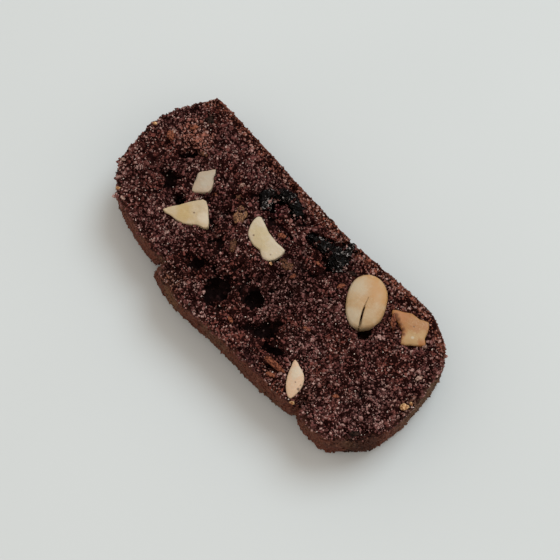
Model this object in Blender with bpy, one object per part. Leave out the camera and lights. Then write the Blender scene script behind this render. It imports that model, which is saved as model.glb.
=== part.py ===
"""One slice of chocolate biscotti with blanched almonds and raisins, lying on a cut face.

x runs along the slice, y runs from the cracked top crust to the flat base crust, and z
is up. Sizes are in millimetres until the last section, which turns them into metres.
"""

import math

import bpy
import bmesh
from mathutils import Matrix, Vector, noise

MM = 0.001
THICKNESS = 13.0
FIT_GAP = 0.35

for old in list(bpy.data.objects):
    bpy.data.objects.remove(old, do_unlink=True)


# Tools for every piece: materials, curves, and meshes that come out of modifiers

def make_material(name, colour, roughness):
    material = bpy.data.materials.new(name)
    material.use_nodes = True
    shader = material.node_tree.nodes["Principled BSDF"]
    shader.inputs["Base Color"].default_value = (*colour, 1.0)
    shader.inputs["Roughness"].default_value = roughness
    shader.inputs["Metallic"].default_value = 0.0
    return material


def spline_point(before, start, end, after, t):
    """A point between start and end on a Catmull-Rom curve."""
    return 0.5 * (
        2.0 * start
        + (end - before) * t
        + (2.0 * before - 5.0 * start + 4.0 * end - after) * t ** 2
        + (3.0 * start - before - 3.0 * end + after) * t ** 3
    )


def open_curve(points, steps):
    """Steps points on each span of an open curve, with its last point left out."""
    corners = [Vector(p) for p in points]
    padded = [2.0 * corners[0] - corners[1]] + corners + [2.0 * corners[-1] - corners[-2]]
    return [
        spline_point(*padded[i:i + 4], step / steps)
        for i in range(len(corners) - 1)
        for step in range(steps)
    ]


def closed_curve(points, count):
    """Count points on a closed curve through the given ones."""
    corners = [Vector(p) for p in points]
    total = len(corners)
    curve = []
    for i in range(count):
        place = i * total / count
        first = int(place)
        around = [corners[(first + k) % total] for k in (-1, 0, 1, 2)]
        curve.append(spline_point(*around, place - first))
    return curve


def smooth_step(value, low, high):
    t = min(max((value - low) / (high - low), 0.0), 1.0)
    return t * t * (3.0 - 2.0 * t)


def skin_rings(name, rings):
    """A closed mesh through rings of equal length, from the lowest to the highest."""
    shape = bmesh.new()
    rows = [[shape.verts.new(p) for p in ring] for ring in rings]
    count = len(rows[0])
    for low, high in zip(rows, rows[1:]):
        for i in range(count):
            j = (i + 1) % count
            shape.faces.new((low[i], low[j], high[j], high[i]))
    shape.faces.new(list(reversed(rows[0])))
    shape.faces.new(rows[-1])
    bmesh.ops.recalc_face_normals(shape, faces=shape.faces)
    mesh = bpy.data.meshes.new(name)
    shape.to_mesh(mesh)
    shape.free()
    return mesh


def add_object(name, mesh, material=None):
    piece = bpy.data.objects.new(name, mesh)
    bpy.context.collection.objects.link(piece)
    if material:
        mesh.materials.clear()
        mesh.materials.append(material)
    return piece


def freeze(piece):
    """Replaces the mesh of a piece by the result of its modifiers."""
    bpy.context.view_layer.update()
    shaped = bpy.data.meshes.new_from_object(
        piece.evaluated_get(bpy.context.evaluated_depsgraph_get())
    )
    piece.modifiers.clear()
    piece.data = shaped
    return shaped


def remesh(piece, size):
    grid = piece.modifiers.new("even mesh", "REMESH")
    grid.mode = "VOXEL"
    grid.voxel_size = size
    return freeze(piece)


def thin_out(piece, triangles):
    """Leaves about the given number of triangles, most of them where the surface bends."""
    corners = piece.modifiers.new("triangles", "TRIANGULATE")
    corners.quad_method = "BEAUTY"
    mesh = freeze(piece)
    fewer = piece.modifiers.new("fewer", "DECIMATE")
    fewer.ratio = min(1.0, triangles / len(mesh.polygons))
    return freeze(piece)


# Dough: a slice of the loaf, with a flat base crust, round ends and a cracked top crust

DOUGH_VOXEL = 0.85
DOUGH_TRIANGLES = 6900
BASE_AND_RIGHT_END = [
    (-40.9, 17.4), (-30.0, 17.1), (-18.0, 16.7), (-6.0, 16.5), (5.0, 16.2), (14.0, 16.9),
    (22.0, 17.4), (28.5, 17.7), (33.1, 16.2), (37.6, 13.5), (39.9, 8.2), (41.2, 2.0),
    (41.6, -4.0), (40.7, -9.9), (37.7, -14.1), (33.9, -17.7), (29.4, -18.6), (26.2, -18.2),
]
LOWER_CRACK = (24.9, -16.4)
MIDDLE_CRUST = [
    (23.3, -18.1), (19.0, -18.8), (12.0, -19.6), (4.0, -19.6), (-4.0, -20.4), (-11.0, -21.0),
    (-16.0, -20.7), (-18.8, -19.6), (-19.9, -18.2),
]
UPPER_CRACK = (-20.0, -16.6)
UPPER_CRUST_AND_LEFT_END = [
    (-21.4, -17.4), (-26.5, -17.5), (-31.9, -16.4), (-37.7, -14.8), (-41.4, -12.0),
    (-43.9, -8.6), (-45.0, -3.5), (-45.7, 1.0), (-45.2, 6.0), (-44.0, 11.0), (-42.1, 14.8),
]
UPPER_CRACK_SLANT = 4.2
WALL_STEPS = 5
RIM_ROUNDING = 0.5
WALL_BULGE = 0.35
WALL_LEVELS = [(0.0, -1.0), (0.06, 0.0), (0.5, 1.0), (0.93, 0.0), (1.0, -1.0)]
BASE_SIDE_TURN = (0.6, 0.95)

# Pits and slits of the upper cut face: x, y, length, width, turn in degrees, depth
UPPER_PITS = [
    (-27.1, -5.1, 2.5, 2.5, 0, 4.2),
    (-33.2, -3.6, 6.6, 1.9, -15, 2.2),
    (-34.3, 3.3, 5.0, 1.6, 48, 1.8),
    (-28.6, 4.9, 3.8, 1.5, 10, 1.3),
    (-18.2, -3.8, 7.0, 1.9, -48, 1.4),
    (-13.1, -12.3, 5.6, 3.4, 48, 2.4),
    (-6.1, -12.7, 7.2, 6.2, 46, 3.4),
    (1.1, -8.7, 5.4, 4.4, -40, 3.8),
    (8.0, -11.2, 8.0, 4.4, 48, 2.2),
    (12.9, -12.9, 6.4, 2.3, 32, 2.4),
    (25.2, -15.9, 2.4, 1.9, 60, 2.8),
    (38.3, -13.3, 3.2, 2.0, 40, 1.2),
    (31.9, -5.4, 3.0, 1.5, -43, 1.0),
    (22.7, 3.4, 2.5, 2.2, 0, 3.8),
    (-37.9, 12.4, 4.4, 3.2, 37, 0.9),
]
# Small bits fused to the upper cut face, in the same order, with their height last
UPPER_BITS = [
    (-15.2, 1.9, 4.4, 3.0, -40, 0.7),
    (-40.1, 2.9, 2.4, 2.0, -34, 0.6),
    (14.4, -15.2, 4.6, 1.6, 20, 0.6),
    (39.6, -1.2, 2.0, 1.6, 40, 0.5),
    (-30.6, 0.4, 7.0, 5.0, 10, 0.5),
]
# Pits of the lower cut face, which lies on the plate
LOWER_PITS = [
    (-33.0, -6.0, 5.6, 2.6, 30, 1.6),
    (-20.0, 7.5, 4.2, 3.2, -20, 2.2),
    (-6.0, -12.0, 6.4, 3.8, 65, 1.8),
    (4.5, 10.6, 3.4, 2.4, 10, 1.4),
    (15.5, -12.6, 5.2, 2.8, -35, 2.0),
    (30.5, 8.0, 4.4, 3.2, 50, 1.6),
    (33.5, -9.0, 2.8, 2.2, 0, 1.8),
]


def wall_outline(height):
    """The outline of the slice at a height, with the upper crack aslant in the crust."""
    slant = UPPER_CRACK_SLANT * (height / THICKNESS - 0.5)
    crack = Vector(UPPER_CRACK) + Vector((slant, 0.0))
    middle = [Vector(p) for p in MIDDLE_CRUST]
    upper = [Vector(p) for p in UPPER_CRUST_AND_LEFT_END]
    for i in (-1, -2):
        middle[i].x += slant
    upper[0].x += slant
    base = [Vector(p) for p in BASE_AND_RIGHT_END]
    return (
        open_curve(base + [Vector(LOWER_CRACK)], WALL_STEPS)
        + open_curve([Vector(LOWER_CRACK)] + middle + [crack], WALL_STEPS)
        + open_curve([crack] + upper + [base[0]], WALL_STEPS)
    )


def wall_ring(part, swell):
    """The outline at a part of the thickness, moved in at the rims and out at half height."""
    outline = wall_outline(part * THICKNESS)
    count = len(outline)
    ring = []
    for i, point in enumerate(outline):
        along = (outline[(i + 1) % count] - outline[i - 1]).normalized()
        outward = Vector((-along.y, along.x))
        base_side = smooth_step(outward.y, *BASE_SIDE_TURN)
        step = WALL_BULGE * (1.0 - base_side) if swell > 0.0 else RIM_ROUNDING
        moved = point + outward * step * swell
        ring.append(Vector((moved.x, moved.y, part * THICKNESS)))
    return ring


SPOT_RAGGED = (0.9, 0.22)
SPOT_FLOOR_AND_BRIM = (0.45, 1.15)


def dent(x, y, spots):
    """How far the spots reach at a place, the largest of them counting."""
    reach = 0.0
    for spot_x, spot_y, length, width, turn, depth in spots:
        away = Matrix.Rotation(-math.radians(turn), 2) @ Vector((x - spot_x, y - spot_y))
        pitch, share = SPOT_RAGGED
        ragged = 1.0 + share * noise.noise(Vector((x * pitch, y * pitch, spot_x)))
        distance = 2.0 * math.hypot(away.x / length, away.y / width) / ragged
        reach = max(reach, depth * (1.0 - smooth_step(distance, *SPOT_FLOOR_AND_BRIM)))
    return reach


# Unevenness of the surface: waves to a millimetre, and height of the waves
CRUMB_COARSE = (0.16, 0.75)
CRUMB_FINE = (0.42, 0.45)
CRUST_COARSE = (0.09, 0.40)
CRUST_FINE = (0.50, 0.12)
OTHER_WAVES = Vector((0.0, 0.0, 31.0))
CUT_FACE_TURN = (0.35, 0.8)
BASE_CRUST_CALM = 0.5


def waves(place, pitch, height):
    return noise.noise(place * pitch) * height


def relief(place, normal):
    """The way a point of the plain slice moves to its place on the baked surface."""
    upper = smooth_step(normal.z, *CUT_FACE_TURN)
    lower = smooth_step(-normal.z, *CUT_FACE_TURN)
    crumb = waves(place, *CRUMB_COARSE) + waves(place + OTHER_WAVES, *CRUMB_FINE) - CRUMB_FINE[1]
    crumb += dent(place.x, place.y, UPPER_BITS) - dent(place.x, place.y, UPPER_PITS)
    outward = Vector((normal.x, normal.y, 0.0)).normalized()
    base_side = smooth_step(outward.y, *BASE_SIDE_TURN)
    crust = waves(place - OTHER_WAVES, *CRUST_COARSE) + waves(place, *CRUST_FINE)
    crust *= (1.0 - upper - lower) * (1.0 - BASE_CRUST_CALM * base_side)
    rise = crumb * upper + dent(place.x, place.y, LOWER_PITS) * lower
    return outward * crust + Vector((0.0, 0.0, rise))


def make_dough():
    slab = skin_rings("dough", [wall_ring(part, swell) for part, swell in WALL_LEVELS])
    piece = add_object("dough", slab)
    mesh = remesh(piece, DOUGH_VOXEL)
    moves = [relief(v.co.copy(), v.normal.copy()) for v in mesh.vertices]
    for vertex, move in zip(mesh.vertices, moves):
        vertex.co += move
    flatten_underside(mesh)
    mesh = thin_out(piece, DOUGH_TRIANGLES)
    flatten_underside(mesh)
    return piece


FLAT_BAND = 0.22


# Cracks baked into the top crust: innermost point on the plate and at the top, way out, width
CRACKS = [
    ((-21.7, -15.6), (-17.6, -17.2), (-0.38, -0.92), 2.7),
    ((24.5, -16.2), (26.3, -15.9), (-0.25, -0.97), 1.9),
]
CRACK_REACH = 5.0
CRACK_TIP = 0.15


def crack_cutter(lowest, highest, way_out, width):
    """A wedge from the innermost line of a crack to outside the slice."""
    out = Vector(way_out).normalized()
    across = Vector((-out.y, out.x))
    rings = []
    for height in (-0.2, 1.2):
        tip = Vector(lowest).lerp(Vector(highest), height)
        plan = [
            tip - across * CRACK_TIP,
            tip + across * CRACK_TIP,
            tip + out * CRACK_REACH + across * width * 0.5,
            tip + out * CRACK_REACH - across * width * 0.5,
        ]
        rings.append([Vector((p.x, p.y, height * THICKNESS)) for p in plan])
    return add_object("crack tool", skin_rings("crack tool", rings))


def flatten_underside(mesh):
    """The lower cut face is one plane, apart from its pits."""
    for vertex in mesh.vertices:
        if vertex.co.z < FLAT_BAND:
            vertex.co.z = 0.0


# Almonds: blanched pieces, each a rounded body in the dough under the face that shows

SPANS_PER_POINT = 2
ALMOND_RINGS = [(0.34, 1.0), (0.68, 0.88), (0.92, 0.62), (1.0, 0.3)]
CROWN_RINGS = [(1.0, 0.0), (0.93, 0.45), (0.72, 0.8), (0.38, 1.0)]
SOCKET_RISE = 3.0


class Almond:
    """Outline of the face that shows, height of its rim, dome over it and depth under it."""

    def __init__(self, name, outline, rim, dome, depth):
        self.name = name
        self.outline = outline
        self.rim = rim
        self.dome = dome
        self.depth = depth


ALMONDS = [
    Almond("almond_whole", [
        (12.4, 11.2), (13.6, 13.5), (16.2, 14.5), (19.3, 13.6), (21.6, 11.0), (23.0, 7.8),
        (22.5, 5.2), (20.8, 3.2), (19.0, 2.7), (16.6, 3.7), (14.2, 6.2), (12.7, 8.8),
    ], 12.5, 1.3, 6.4),
    Almond("almond_middle", [
        (-12.7, 3.8), (-12.1, 1.6), (-10.6, -0.2), (-8.0, -0.8), (-6.4, -0.5), (-5.2, -1.2),
        (-3.6, -1.0), (-2.5, 0.3), (-2.6, 3.5), (-5.2, 3.4), (-8.6, 3.9), (-12.0, 5.0),
    ], 12.6, 0.4, 5.0),
    Almond("almond_sail", [
        (-27.8, -10.1), (-26.2, -6.5), (-23.8, -1.9), (-22.1, -2.0), (-20.2, -3.3),
        (-17.9, -5.2), (-18.4, -6.4), (-19.9, -6.9), (-22.3, -9.1), (-25.4, -9.8),
    ], 12.6, 0.3, 4.6),
    Almond("almond_rhombus", [
        (-27.4, 5.1), (-28.5, 3.3), (-29.4, 1.6), (-28.6, 0.0), (-27.0, -2.5), (-25.6, -1.4),
        (-24.3, 0.0), (-24.4, 1.3), (-25.8, 3.2),
    ], 12.5, 0.3, 4.2),
    Almond("almond_right", [
        (22.8, 11.7), (24.6, 13.1), (26.4, 14.3), (28.3, 14.5), (30.2, 15.6), (31.6, 13.8),
        (32.3, 12.4), (33.4, 11.3), (31.2, 9.2), (29.6, 7.8), (27.6, 10.0), (24.2, 10.7),
    ], 12.5, 0.5, 5.0),
    Almond("almond_spindle", [
        (17.3, -11.2), (19.4, -11.6), (21.2, -12.2), (22.7, -13.9), (23.2, -16.0),
        (23.0, -17.8), (21.5, -17.6), (19.8, -16.3), (18.4, -14.2), (17.5, -12.4),
    ], 12.4, 0.3, 4.4),
]
# Almonds of the lower cut face are the same bodies turned over
ALMONDS_BELOW = [
    Almond("almond_below_left", [
        (-28.6, 4.2), (-27.2, 5.8), (-25.0, 6.6), (-22.8, 6.2), (-21.0, 4.8), (-20.4, 2.6),
        (-22.4, 0.7), (-24.8, 0.4), (-27.2, 1.6),
    ], 0.3, 0.2, 4.6),
    Almond("almond_below_right", [
        (8.2, -0.6), (9.6, 1.6), (12.0, 2.8), (15.0, 3.1), (18.2, 2.2), (20.2, 0.4),
        (18.6, -1.8), (15.0, -3.2), (11.6, -3.2), (9.2, -2.2),
    ], 0.3, 0.2, 5.0),
]


def almond_mesh(almond, grow, rise):
    """The almond as a mesh. grow moves its sides out and rise carries its rim on, for a cutter."""
    side = 1.0 if almond.rim > 0.5 * THICKNESS else -1.0
    spans = SPANS_PER_POINT * len(almond.outline)
    edge = closed_curve([(x, y, 0.0) for x, y in almond.outline], spans)
    centre = sum(edge, Vector()) / len(edge)
    arms = [(p - centre) for p in edge]
    rings = []
    for scale, part in ALMOND_RINGS:
        depth = part * almond.depth + (grow if part == 1.0 else 0.0)
        rings.append((scale, grow, -depth))
    if rise:
        rings.append((1.0, grow, rise))
    else:
        rings += [(scale, 0.0, almond.dome * part) for scale, part in CROWN_RINGS]
    skin = []
    for scale, wider, height in rings:
        z = almond.rim + side * height
        skin.append([
            centre + arm * scale + arm.normalized() * wider + Vector((0.0, 0.0, z))
            for arm in arms
        ])
    return skin_rings(almond.name, skin)


# The whole almond has split along its seam for half of its length
SEAM_START = Vector((17.5, 9.7))
SEAM_END = Vector((21.6, 3.1))
SEAM_BOW = 0.35
SEAM_WIDTH = 0.46
SEAM_FLOOR = 12.3
SEAM_TOP = 15.0
SEAM_STEPS = 5
SEAM_TIP = 0.12


def seam_cutter():
    """A thin bowed wedge that tapers to nothing where the split ends."""
    along = SEAM_END - SEAM_START
    across = Vector((along.y, -along.x)).normalized()
    left, right = [], []
    for i in range(SEAM_STEPS + 1):
        t = i / SEAM_STEPS
        middle = SEAM_START + along * t + across * SEAM_BOW * math.sin(math.pi * t)
        half = SEAM_WIDTH * (SEAM_TIP + (0.5 - SEAM_TIP) * t)
        left.append(middle + across * half)
        right.append(middle - across * half)
    loop = left + right[::-1]
    return skin_rings("seam cutter", [
        [Vector((p.x, p.y, z)) for p in loop] for z in (SEAM_FLOOR, SEAM_TOP)
    ])


# Raisins: dried, wrinkled and torn open by the knife, each grown from a chain of beads

RAISIN_VOXEL = 0.55
RAISIN_TRIANGLES = 460
RAISINS = {
    "raisin_lower": [
        (-1.8, 10.0, 11.2, 1.0), (0.4, 10.6, 11.0, 1.5), (2.8, 11.2, 10.7, 2.0),
        (5.4, 11.4, 10.4, 2.5), (7.4, 10.6, 10.4, 2.5), (6.4, 13.2, 10.6, 2.1),
        (6.4, 15.2, 11.4, 1.3),
    ],
    "raisin_upper": [
        (-13.7, 7.6, 11.0, 1.6), (-15.4, 9.5, 10.9, 1.8), (-14.4, 11.7, 11.0, 1.8),
        (-12.4, 13.0, 11.0, 1.8), (-9.8, 12.9, 11.1, 1.6), (-7.4, 11.5, 11.1, 1.5),
    ],
    "raisin_below": [
        (-8.6, 5.4, 1.7, 1.5), (-6.6, 6.4, 1.9, 1.7), (-4.4, 6.0, 1.8, 1.6),
        (-3.2, 4.2, 1.6, 1.4),
    ],
}
WRINKLE_PITCH = 0.62
WRINKLE_DEPTH = 0.42
WRINKLE_CREST = 2.2
RAISIN_LOWEST = 0.12
BEAD_STEPS = 3
SOCKET_VOXEL = 0.9
SOCKET_TRIANGLES = 190
SOCKET_GAP = 0.55


def bead_chain(name, beads, grow, rise):
    """Beads joined in one mesh. rise repeats them outwards, so that a cutter opens the face."""
    shape = bmesh.new()
    for (ax, ay, az, ar), (bx, by, bz, br) in zip(beads, beads[1:]):
        for i in range(BEAD_STEPS + 1):
            t = i / BEAD_STEPS
            at = Vector((ax, ay, az)).lerp(Vector((bx, by, bz)), t)
            radius = ar + (br - ar) * t + grow
            lifts = (0.0, 0.5 * rise, rise) if rise else (0.0,)
            for lift in lifts:
                spot = Matrix.Translation(at + Vector((0.0, 0.0, lift)))
                bmesh.ops.create_icosphere(shape, subdivisions=2, radius=radius, matrix=spot)
    mesh = bpy.data.meshes.new(name)
    shape.to_mesh(mesh)
    shape.free()
    return mesh


def make_raisin(name, beads, material):
    piece = add_object(name, bead_chain(name, beads, 0.0, 0.0))
    mesh = remesh(piece, RAISIN_VOXEL)
    normals = [v.normal.copy() for v in mesh.vertices]
    for vertex, normal in zip(mesh.vertices, normals):
        ridge = abs(noise.noise(vertex.co * WRINKLE_PITCH))
        vertex.co -= normal * WRINKLE_DEPTH * (1.0 - WRINKLE_CREST * ridge)
    mesh = thin_out(piece, RAISIN_TRIANGLES)
    for vertex in mesh.vertices:
        vertex.co.z = max(vertex.co.z, RAISIN_LOWEST)
    mesh.materials.append(material)
    for face in mesh.polygons:
        face.use_smooth = True
    return piece


def raisin_socket(name, beads):
    rise = SOCKET_RISE if beads[0][2] > 0.5 * THICKNESS else -SOCKET_RISE
    piece = add_object(name, bead_chain(name, beads, SOCKET_GAP, rise))
    remesh(piece, SOCKET_VOXEL)
    thin_out(piece, SOCKET_TRIANGLES)
    return piece


# The pieces are put together, and each one in the dough cuts its own socket

def cut(piece, tool, name):
    tool.hide_render = True
    tool.display_type = "WIRE"
    hole = piece.modifiers.new(name, "BOOLEAN")
    hole.operation = "DIFFERENCE"
    hole.solver = "EXACT"
    hole.object = tool


crumb = make_material("dough", (0.056, 0.022, 0.018), 0.85)
blanched = make_material("almond", (0.52, 0.40, 0.26), 0.5)
toasted = make_material("almond_toasted", (0.50, 0.30, 0.14), 0.5)
dried = make_material("raisin", (0.010, 0.007, 0.007), 0.35)

dough = make_dough()
dough.data.materials.append(crumb)
pieces = [dough]
tools = []

for crack in CRACKS:
    wedge = crack_cutter(*crack)
    cut(dough, wedge, "crack")
    tools.append(wedge)

for almond in ALMONDS + ALMONDS_BELOW:
    tone = toasted if almond.name == "almond_right" else blanched
    body = add_object(almond.name, almond_mesh(almond, 0.0, 0.0), tone)
    for face in body.data.polygons:
        face.use_smooth = True
    socket = add_object(almond.name + " socket", almond_mesh(almond, FIT_GAP, SOCKET_RISE))
    cut(dough, socket, almond.name)
    pieces.append(body)
    tools.append(socket)
    if almond.name == "almond_whole":
        seam = add_object("seam cutter", seam_cutter())
        cut(body, seam, "seam")
        tools.append(seam)

for name, beads in RAISINS.items():
    pieces.append(make_raisin(name, beads, dried))
    socket = raisin_socket(name + " socket", beads)
    cut(dough, socket, name)
    tools.append(socket)


# The slice is centred on its bounding box and turned from millimetres into metres

corners = [v.co for piece in pieces for v in piece.data.vertices]
middle_x = 0.5 * (min(c.x for c in corners) + max(c.x for c in corners))
middle_y = 0.5 * (min(c.y for c in corners) + max(c.y for c in corners))
to_metres = Matrix.Scale(MM, 4) @ Matrix.Translation((-middle_x, -middle_y, 0.0))
for piece in pieces + tools:
    piece.data.transform(to_metres)
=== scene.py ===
"""The looks of one slice of chocolate biscotti with blanched almonds and raisins."""

import math

import bpy
import bmesh
import numpy as np
from mathutils import Matrix, Vector, bvhtree, kdtree, noise


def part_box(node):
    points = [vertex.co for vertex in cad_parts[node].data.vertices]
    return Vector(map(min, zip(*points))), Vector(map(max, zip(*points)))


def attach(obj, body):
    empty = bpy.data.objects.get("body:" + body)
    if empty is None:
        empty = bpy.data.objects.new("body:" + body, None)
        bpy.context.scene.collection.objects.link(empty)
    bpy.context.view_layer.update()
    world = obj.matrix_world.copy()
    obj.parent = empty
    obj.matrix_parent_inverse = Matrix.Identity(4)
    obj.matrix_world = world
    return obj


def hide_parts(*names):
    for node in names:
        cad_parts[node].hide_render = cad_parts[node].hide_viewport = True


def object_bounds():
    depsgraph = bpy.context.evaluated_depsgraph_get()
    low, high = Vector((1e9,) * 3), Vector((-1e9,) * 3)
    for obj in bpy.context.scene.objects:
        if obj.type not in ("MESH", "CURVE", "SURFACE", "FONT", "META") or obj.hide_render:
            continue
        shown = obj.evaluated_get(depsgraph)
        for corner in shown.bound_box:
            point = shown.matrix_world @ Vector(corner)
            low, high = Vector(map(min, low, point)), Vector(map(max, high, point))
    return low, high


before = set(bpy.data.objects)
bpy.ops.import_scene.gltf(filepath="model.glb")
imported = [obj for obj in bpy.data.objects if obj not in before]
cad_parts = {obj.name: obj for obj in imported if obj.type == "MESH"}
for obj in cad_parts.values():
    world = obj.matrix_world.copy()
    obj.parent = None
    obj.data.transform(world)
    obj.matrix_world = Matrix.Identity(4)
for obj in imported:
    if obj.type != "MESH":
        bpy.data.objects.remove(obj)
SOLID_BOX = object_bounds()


# Dough: one slice of a twice-baked cocoa loaf, dry and crumbly. The knife has torn the two
# cut faces into grains and clumps with holes between them, and the walls are the loaf's own
# crust, smoother and browner, flat along the base and cracked along the domed top.
MM = 0.001
UP = Vector((0.0, 0.0, 1.0))
INCLUSIONS = sorted(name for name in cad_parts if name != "dough")
DOUGH_VOXEL = 0.36 * MM
SLICE_MIDDLE = 0.5 * (SOLID_BOX[0].z + SOLID_BOX[1].z)
UPPER_FACE = 12.3 * MM
LOWER_FACE = 0.4 * MM
# Dough fills the sockets: how far past the piece at its sides, how far below its face, and
# how near to the base crust at most
CLOSE_IN = {"almond": 0.42 * MM, "raisin": 0.75 * MM}
CLOSE_IN_DEPTH = {"almond": 0.40 * MM, "raisin": 0.45 * MM}
BASE_WALL_INSET = 2.2 * MM


def side_of(node):
    """1 for a piece in the upper cut face and -1 for one in the lower."""
    low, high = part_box(node)
    return 1.0 if 0.5 * (low.z + high.z) > SLICE_MIDDLE else -1.0


def add_solid(shape, node, wider=0.0, deeper=0.0):
    """Adds a solid of the frame to a bmesh, widened about its middle and sunk from its face."""
    first = len(shape.verts)
    shape.from_mesh(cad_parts[node].data)
    if not wider:
        return
    shape.verts.ensure_lookup_table()
    low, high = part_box(node)
    middle = 0.5 * (low + high)
    wall = SOLID_BOX[1].y - BASE_WALL_INSET
    sink = UP * (-side_of(node) * deeper)
    for vertex in shape.verts[first:]:
        push = (vertex.co - middle).to_2d().normalized() * wider
        vertex.co += push.to_3d() + sink
        vertex.co.y = min(vertex.co.y, wall)


def piece_from(name, shape):
    """A new object from a bmesh, with its doubled corners joined."""
    bmesh.ops.remove_doubles(shape, verts=shape.verts, dist=0.001 * MM)
    mesh = bpy.data.meshes.new(name)
    shape.to_mesh(mesh)
    shape.free()
    piece = bpy.data.objects.new(name, mesh)
    bpy.context.scene.collection.objects.link(piece)
    return piece


def even_mesh(piece, size, smoothing=0):
    """Gives the piece an even mesh of small squares, with all that overlaps joined."""
    grid = piece.modifiers.new("even mesh", "REMESH")
    grid.mode = "VOXEL"
    grid.voxel_size = size
    if smoothing:
        smooth = piece.modifiers.new("smoothing", "SMOOTH")
        smooth.iterations = smoothing
    bpy.context.view_layer.update()
    graph = bpy.context.evaluated_depsgraph_get()
    even = bpy.data.meshes.new_from_object(piece.evaluated_get(graph))
    piece.modifiers.clear()
    piece.data = even
    even.name = piece.name
    return even


def points_and_normals(mesh):
    points = np.empty(len(mesh.vertices) * 3)
    normals = np.empty(len(mesh.vertices) * 3)
    mesh.vertices.foreach_get("co", points)
    mesh.vertices.foreach_get("normal", normals)
    return points.reshape(-1, 3), normals.reshape(-1, 3)


def in_box(points):
    """The points, kept in the box of the solids."""
    return np.clip(points, np.array(SOLID_BOX[0]), np.array(SOLID_BOX[1]))


def set_points(mesh, points):
    mesh.vertices.foreach_set("co", in_box(points).astype(np.float32).ravel())
    mesh.update()


def set_layer(mesh, name, values):
    layer = mesh.attributes.new(name, "FLOAT", "POINT")
    layer.data.foreach_set("value", np.asarray(values, np.float32))


def ease(values, low, high):
    """0 up to low, 1 from high on, and a smooth rise between."""
    t = np.clip((values - low) / (high - low), 0.0, 1.0)
    return t * t * (3.0 - 2.0 * t)


def waves(points, length, shift=0.0):
    """Smooth noise from about -1 to 1, with waves of a length."""
    offset = Vector((shift, -shift, 2.0 * shift))
    return np.array([noise.noise(Vector(p) / length + offset) for p in points])


GRAIN_REACH = 0.62
TONE_SCATTER = 41.7


def grains(points, size):
    """For grains packed at a size: how near each point is to a grain's middle, and its tone."""
    height = np.empty(len(points))
    tone = np.empty(len(points))
    for i, p in enumerate(points):
        distances, centres = noise.voronoi(Vector(p) / size)
        height[i] = 1.0 - (distances[0] / GRAIN_REACH) ** 2
        tone[i] = noise.cell(centres[0] * TONE_SCATTER)
    return np.clip(height, 0.0, 1.0), tone


def seen_from_above(points, places):
    """How far each point is from the nearest of some places, in mm, and which one that is."""
    near = kdtree.KDTree(len(places))
    for i, place in enumerate(places):
        near.insert((place[0], place[1], 0.0), i)
    near.balance()
    found = [near.find((p[0], p[1], 0.0)) for p in points]
    return np.array([f[2] for f in found]) / MM, np.array([f[1] for f in found])


WALL_LEAN = 0.5
WALL_HALF_HEIGHT = 4.5 * MM


def distance_to_walls(mesh, points, normals):
    """How far each point is, seen from above, from the outer walls of the slice, in mm."""
    tree = bvhtree.BVHTree.FromPolygons(
        [v.co for v in mesh.vertices], [p.vertices for p in mesh.polygons]
    )
    steep = np.abs(normals[:, 2]) < WALL_LEAN
    mid_height = np.abs(points[:, 2] - SLICE_MIDDLE) < WALL_HALF_HEIGHT
    outer = []
    for i in np.nonzero(steep & mid_height)[0]:
        outward = Vector((normals[i, 0], normals[i, 1], 0.0)).normalized()
        start = Vector(points[i]) + outward * 0.3 * MM
        if tree.ray_cast(start, outward)[0] is None:
            outer.append(i)
    return seen_from_above(points, points[outer])[0]


# Holes that go straight down from the upper cut face: place, length, width, turn and
# depth, in mm and degrees
HOLES = [
    (24.2, 5.5, 3.7, 3.2, 45, 3.4), (-25.6, -3.7, 3.0, 2.7, 0, 3.0),
    (-31.2, -2.8, 5.6, 1.7, -12, 2.2), (-32.6, 4.4, 4.2, 1.5, 48, 1.6),
    (3.4, -7.0, 3.0, 2.0, -40, 1.5), (-12.6, -11.6, 3.4, 1.5, 20, 1.6),
    (-7.6, -9.0, 2.8, 1.2, -30, 1.4), (-2.8, -14.6, 2.2, 1.2, 35, 1.0),
    (-4.6, -8.4, 2.4, 1.6, 70, 1.3), (9.6, -8.6, 2.4, 0.9, 45, 0.6),
    (15.5, -11.7, 4.4, 1.3, 28, 1.8), (27.2, -14.6, 2.4, 1.5, 60, 1.6),
    (7.0, -12.2, 3.2, 1.3, 60, 1.2), (11.2, -6.2, 2.4, 1.0, 30, 1.0),
    (-12.8, -4.6, 2.6, 1.1, 50, 1.0), (-2.6, 12.6, 3.0, 1.4, 60, 1.1),
    (-1.2, -4.8, 2.4, 1.1, -20, 1.0), (4.4, -2.8, 2.2, 1.0, 40, 0.9),
    (33.9, -4.0, 2.6, 1.2, -43, 1.2), (-16.6, -2.2, 4.6, 1.4, -50, 1.3),
    (40.6, -11.9, 2.6, 1.8, 40, 1.2), (-14.9, 9.5, 2.6, 1.4, 70, 1.2),
    (20.4, -8.4, 1.9, 1.1, 15, 1.1), (-4.6, -5.2, 2.4, 1.2, 30, 1.1),
]
HOLE_SOFTNESS = 0.45
HOLE_RAGGEDNESS = 0.75


def hole_share(points, hole):
    """1 inside a hole, 0 outside it, and between the two at its edge."""
    x, y, length, width, turn, _ = hole
    angle = math.radians(turn)
    away_x, away_y = points[:, 0] / MM - x, points[:, 1] / MM - y
    along = (away_x * math.cos(angle) + away_y * math.sin(angle)) / (0.5 * length)
    across = (-away_x * math.sin(angle) + away_y * math.cos(angle)) / (0.5 * width)
    return 1.0 - ease(np.hypot(along, across), 1.0 - HOLE_SOFTNESS, 1.0 + HOLE_SOFTNESS)


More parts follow.
